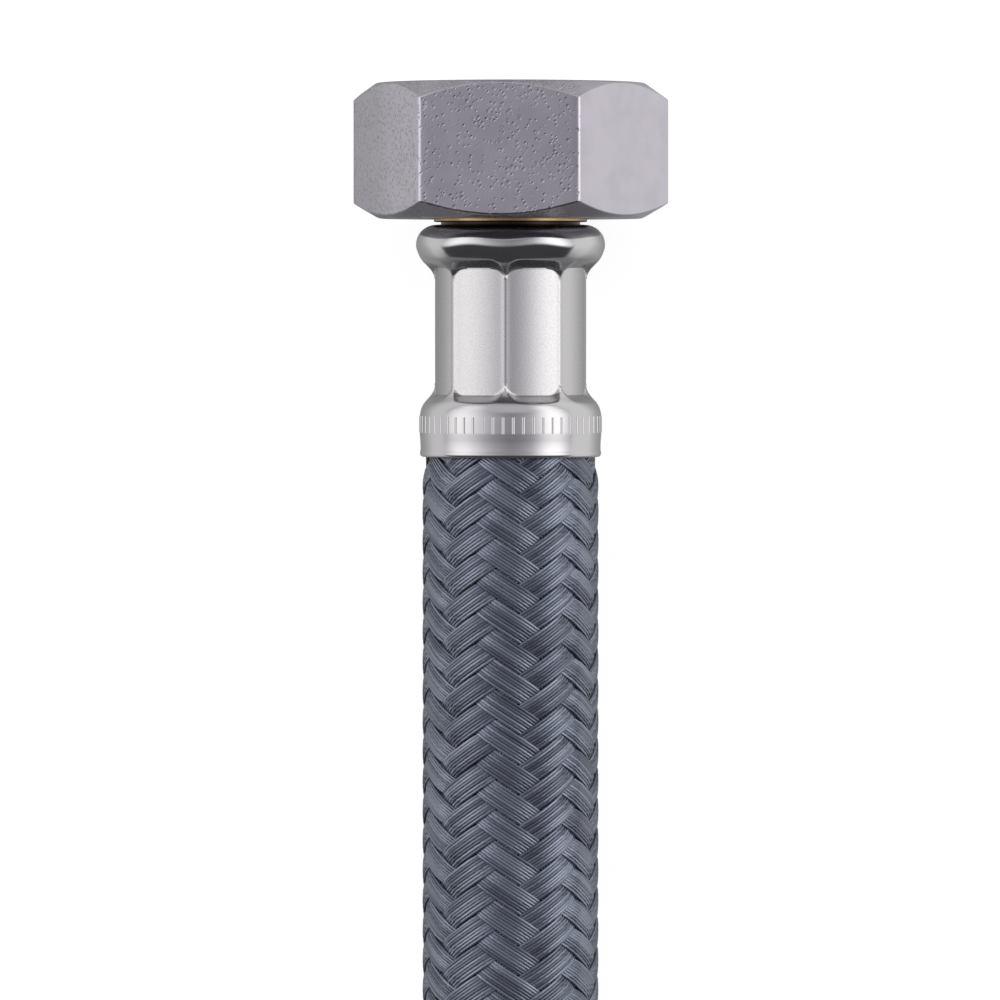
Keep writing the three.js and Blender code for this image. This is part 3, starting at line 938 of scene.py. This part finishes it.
# Female thread: rounded vee, fading out at both ends
def threadRadius(along, angle):
    chamfer, bore = nut["mouthChamfer"], nut["minorRadius"]
    end = nut["length"] - nut["webThickness"] - nut["reliefLength"]
    turn = (along / nut["pitch"] + angle / turnRound) % 1
    vee = abs(2 * turn - 1)  # 1 at the crest
    flat, rounded = nut["crestFlat"], nut["crestRound"]
    straight = max(0, min(1, (vee - flat) / (1 - 2 * flat)))
    vee = ramp(vee, flat, 1 - flat) * rounded + straight * (1 - rounded)
    cut = bore + (nut["majorRadius"] - bore) * (1 - vee)
    cone = nut["mouthRadius"] - (along / chamfer) * (nut["mouthRadius"] - bore)
    fadeIn = ramp(along, *[end + past for past in nut["threadFade"]])
    return max(cone, cut * (1 - fadeIn) + nut["reliefRadius"] * fadeIn)


def makeNut():
    half, steps = nut["acrossFlats"] / 2, nut["stepsPerFace"]
    angles = [math.radians(30) + turnRound * i / (6 * steps) for i in range(6 * steps)]
    mouthSlope = math.tan(math.radians(nut["mouthDegrees"]))
    backSlope = math.tan(math.radians(nut["backDegrees"]))
    length = nut["length"]

    def hexRadius(angle):
        face = math.radians(60)
        return half / math.cos(angle - face * round(angle / face))

    web = length - nut["webThickness"]
    reliefStart = web - nut["reliefLength"] + nut["threadFade"][1]
    count = round(reliefStart / nut["pitch"] * nut["rowsPerPitch"])
    places = [reliefStart * i / count for i in range(count + 1)]
    thread = [[(threadRadius(s, a), s, a) for a in angles] for s in places]
    mouth, back, hole = nut["mouthCircle"], nut["backCircle"], nut["holeRadius"]
    rings = [[(mouth + past, s, a) for a in angles] for past, s in nut["mouthBlend"]]
    rings.append([(hexRadius(a), (hexRadius(a) - mouth) * mouthSlope, a) for a in angles])
    rings.append([(hexRadius(a), length - (hexRadius(a) - back) * backSlope, a) for a in angles])
    inside = [(back + past, length - s) for past, s in nut["backBlend"]]
    inside += [(hole + nut["holeBreak"], length), (hole, length - nut["holeBreak"]), (hole, web),
               (nut["reliefRadius"], web)]
    rings += [[(radius, s, a) for a in angles] for radius, s in inside]
    draft, rows = skinRings(rings + thread[::-1])
    weight = draft.edges.layers.float.new("bevel_weight_edge")
    full = nut["cornerRound"]
    for row in rows[3:5]:
        for i in range(len(row)):
            draft.edges.get((row[i], row[(i + 1) % len(row)]))[weight] = nut["arcRound"] / full
    for i in range(0, 6 * steps, steps):
        draft.edges.get((rows[3][i], rows[4][i]))[weight] = 1.0

    def modify(helper):
        bevel = helper.modifiers.new("roundEdges", "BEVEL")
        bevel.limit_method = "WEIGHT"
        bevel.width = full * mm
        bevel.segments = 3
        bevel.use_clamp_overlap = False
        weighted = helper.modifiers.new("flatFaces", "WEIGHTED_NORMAL")
        weighted.keep_sharp = True
        weighted.weight = 80

    return finishMesh(draft, "swivel_nut", modify, sharpDegrees=62)


nickel = makeNickel()
nutPieces = bothEnds("swivel_nut", makeNut(), nickel, nutBodies)
print("nuts made")


# Insert and sealing washer, turned pieces

insert = {
    "flangeThickness": 2.5,
    "flangeRadius": 11.7,
    "neckRadius": 8.37,
    "neckEnd": rimAt - 0.3,
    "spigotRadius": 7.6,
    "spigotLength": 1.45,
    "boreRadius": 4.6,
    "tailRadius": 5.35,
    "barbHeight": 0.4,
    "barbPitch": 4.2,
    "barbs": 4,
    "edgeBreak": 0.3,
    "neckBreak": 0.08,
    "sides": 128,
}


def makeInsert():
    back, soft, small = flangeFront + insert["flangeThickness"], insert["edgeBreak"], insert["neckBreak"]
    flange, neck, bore, tail = (insert[part + "Radius"] for part in ("flange", "neck", "bore", "tail"))
    neckEnd = insert["neckEnd"]
    spigotEnd = neckEnd + insert["spigotLength"]
    firstBarb = tailEnd - soft - insert["barbs"] * insert["barbPitch"]
    section = [
        (bore + soft, flangeFront), (flange - soft, flangeFront), (flange, flangeFront + soft),
        (flange, back), (neck, back), (neck, neckEnd - small), (neck - small, neckEnd),
        (insert["spigotRadius"], neckEnd), (insert["spigotRadius"], spigotEnd),
        (tail, spigotEnd), (tail, firstBarb),
    ]
    for barb in range(insert["barbs"]):
        start = firstBarb + barb * insert["barbPitch"]
        section += [(tail + insert["barbHeight"], start), (tail, start + insert["barbPitch"])]
    section += [(tail - soft, tailEnd), (bore, tailEnd), (bore, flangeFront + soft)]
    draft, _ = skinRings(turnedRings(section, insert["sides"]))
    return finishMesh(draft, "hose_insert", sharpDegrees=30)


brassPieces = bothEnds("hose_insert", makeInsert(), makeBrass(), hoseBody)

washer = {
    "front": flangeFront - 2.1,
    "back": flangeFront - 0.1,
    "inner": 8.2,
    "outer": 11.7,
    "round": 0.25,
    "sides": 96,
}


def makeWasher():
    front, back, soft = washer["front"], washer["back"], washer["round"]
    inner, outer = washer["inner"], washer["outer"]
    section = []
    for radius, along, turn in ((outer, front, 0), (outer, back, 1), (inner, back, 2), (inner, front, 3)):
        for i in range(4):
            angle = math.pi / 2 * (turn + i / 3)
            middle = radius - soft if radius == outer else radius + soft
            place = along + soft if along == front else along - soft
            section.append((middle + soft * math.sin(angle), place - soft * math.cos(angle)))
    draft, _ = skinRings(turnedRings(section, washer["sides"]))
    return finishMesh(draft, "sealing_washer")


sealSheet = makeDull("sealSheet", sealFinish)
washerPieces = bothEnds("sealing_washer", makeWasher(), sealSheet, hoseBody)
print("inserts and washers made")


# Studio: white table, with a painted shadow where the hose mirrors it, and a sky with a soft box on each side
# and a darker gap over the hose

studio = {
    # level of the light by the angle from straight up towards the hose's right side
    "levels": [
        (-105, 0.6), (-86, 0.85), (-77, 1.36), (-66, 1.7), (-54, 1.66), (-39, 1.24), (-27, 0.84),
        (-14, 0.6), (3, 0.395), (18, 0.48), (32, 0.7), (43, 1.36), (51, 1.87), (60, 2.12), (71, 1.98),
        (80, 1.42), (88, 0.85),
    ],
    "range": 110,  # degrees covered by the ramp to each side
    "brightest": 2.2,
    "open": 0.42,  # level above which it counts as a soft box
    "dark": 0.035,
    "gapColour": colour(1.0, 0.985, 1.06),  # the darker parts of the sky are a little bluer
    # The rest says how far things reach along the hose, as parts of a ray that point to the nut
    "behind": (-0.38, -0.04),  # everything fades out over the hose
    "boxesEnd": (0.72, 1.0),
    "gapFade": (0.05, 0.65),
    "gapBeyond": 0.3,
    "gapLeast": 0.08,
    "headStart": (0.25, 0.5),
    "headEnd": (0.9, 1.0),
    "headLight": 0.7,  # a soft light beyond the nut
}

table = {
    "colour": colour(0.35, 0.35, 0.35),
    "size": 3.0,
    "glow": 0.86,
    "nearGlow": 0.22,  # share of that glow that the hose mirrors close beside it: painted shadow
    "rightFade": (8, 42),  # mm beside the hose over which the rest comes in, the edge of that painted shadow
    "leftFade": (-8, -60),
    # painted shade: the table that the hose mirrors on its left stays dimmer
    "leftMost": 0.85,
    # painted shade: the table mirrored at a flat angle from the nut's end is dimmer
    "flatFade": (0.25, 0.75),
    "flatGlow": 0.08,
}


# 1 for rays from the camera, less for glossy and transmission rays that meet the table near the hose, on its
# left or at a flat angle from the nut's end, 0 for the rest: a painted shadow in the glow that the hose and
# nut mirror
def whiteWithPaintedShadow(tree):
    path = tree.nodes.new("ShaderNodeLightPath").outputs
    spot = tree.nodes.new("ShaderNodeNewGeometry").outputs
    aside = addNode(tree, "ShaderNodeSeparateXYZ", Vector=spot["Position"]).outputs["X"]
    near = table["nearGlow"]
    right = mapRange(tree, aside, *[s * mm for s in table["rightFade"]], 0.0, 1.0 - near)
    left = mapRange(tree, aside, *[s * mm for s in table["leftFade"]], 0.0, table["leftMost"] - near)
    clear = plus(tree, calc(tree, "MAXIMUM", left, right), near)
    flatness = addNode(tree, "ShaderNodeSeparateXYZ", Vector=spot["Incoming"]).outputs["Y"]
    steep = mapRange(tree, flatness, *table["flatFade"], 1.0, table["flatGlow"])
    mirrored = calc(tree, "MAXIMUM", path["Is Glossy Ray"], path["Is Transmission Ray"])
    mirrored = times(tree, times(tree, mirrored, clear), steep)
    return calc(tree, "MAXIMUM", path["Is Camera Ray"], mirrored)


def makeTable():
    material = bpy.data.materials.new("tableWhite")
    material.use_nodes = True
    tree = material.node_tree
    tree.nodes.clear()
    matt = nodeOut(tree, "ShaderNodeBsdfDiffuse", Color=table["colour"])
    glow = nodeOut(tree, "ShaderNodeEmission", Color=colour(1, 1, 1),
                   Strength=times(tree, whiteWithPaintedShadow(tree), table["glow"]))
    both = tree.nodes.new("ShaderNodeAddShader")
    tree.links.new(matt, both.inputs[0])
    tree.links.new(glow, both.inputs[1])
    addNode(tree, "ShaderNodeOutputMaterial", Surface=both.outputs[0])
    mesh = bpy.data.meshes.new("table")
    size = table["size"]
    corners = [(-size, -size, 0), (size, -size, 0), (size, size, 0), (-size, size, 0)]
    mesh.from_pydata(corners, [], [(0, 1, 2, 3)])
    mesh.materials.append(material)
    newObject("table", mesh)


def makeSky():
    world = bpy.data.worlds.new("studio")
    bpy.context.scene.world = world
    world.use_nodes = True
    tree = world.node_tree
    tree.nodes.clear()
    way = tree.nodes.new("ShaderNodeTexCoord").outputs["Generated"]
    parts = addNode(tree, "ShaderNodeSeparateXYZ", Vector=way).outputs
    sideways = times(tree, calc(tree, "ARCTAN2", parts["X"], parts["Z"]), 180 / math.pi)
    share = mapRange(tree, sideways, -studio["range"], studio["range"], smooth=False)
    levels = addNode(tree, "ShaderNodeValToRGB", Fac=share)
    stops = levels.color_ramp.elements
    while len(stops) < len(studio["levels"]):
        stops.new(0.5)
    for stop, (degrees, level) in zip(stops, studio["levels"]):
        stop.position = (degrees + studio["range"]) / (2 * studio["range"])
        stop.color = [level / studio["brightest"]] * 3 + [1]
    level = times(tree, levels.outputs[0], studio["brightest"])
    box = calc(tree, "MAXIMUM", calc(tree, "SUBTRACT", level, studio["open"]), 0.0)
    between = calc(tree, "MINIMUM", level, studio["open"])
    toNut = parts["Y"]
    behind = mapRange(tree, toNut, *studio["behind"])
    boxReach = times(tree, behind, mapRange(tree, toNut, *studio["boxesEnd"], 1.0, 0.0))
    gapReach = times(tree, behind, mapRange(tree, toNut, *studio["gapFade"], 1.0, studio["gapBeyond"]))
    gapReach = blendValues(tree, gapReach, studio["gapLeast"], 1.0)
    head = times(tree, mapRange(tree, toNut, *studio["headStart"]),
                mapRange(tree, toNut, *studio["headEnd"], 1.0, 0.0))
    total = plus(tree, times(tree, box, boxReach), times(tree, between, gapReach))
    total = calc(tree, "MAXIMUM", total, times(tree, head, studio["headLight"]))
    level = plus(tree, total, studio["dark"])
    seen = tree.nodes.new("ShaderNodeLightPath").outputs["Is Camera Ray"]
    strength = plus(tree, times(tree, level, calc(tree, "SUBTRACT", 1.0, seen)), seen)
    lit = calc(tree, "MAXIMUM", mapRange(tree, level, 0.4, 1.6), seen)
    tint = mixColours(tree, lit, studio["gapColour"], colour(1, 1, 1))
    background = nodeOut(tree, "ShaderNodeBackground", Color=tint, Strength=strength)
    addNode(tree, "ShaderNodeOutputWorld", Surface=background)


makeTable()
makeSky()
bpy.context.scene.view_settings.view_transform = "Standard"
print("studio made")
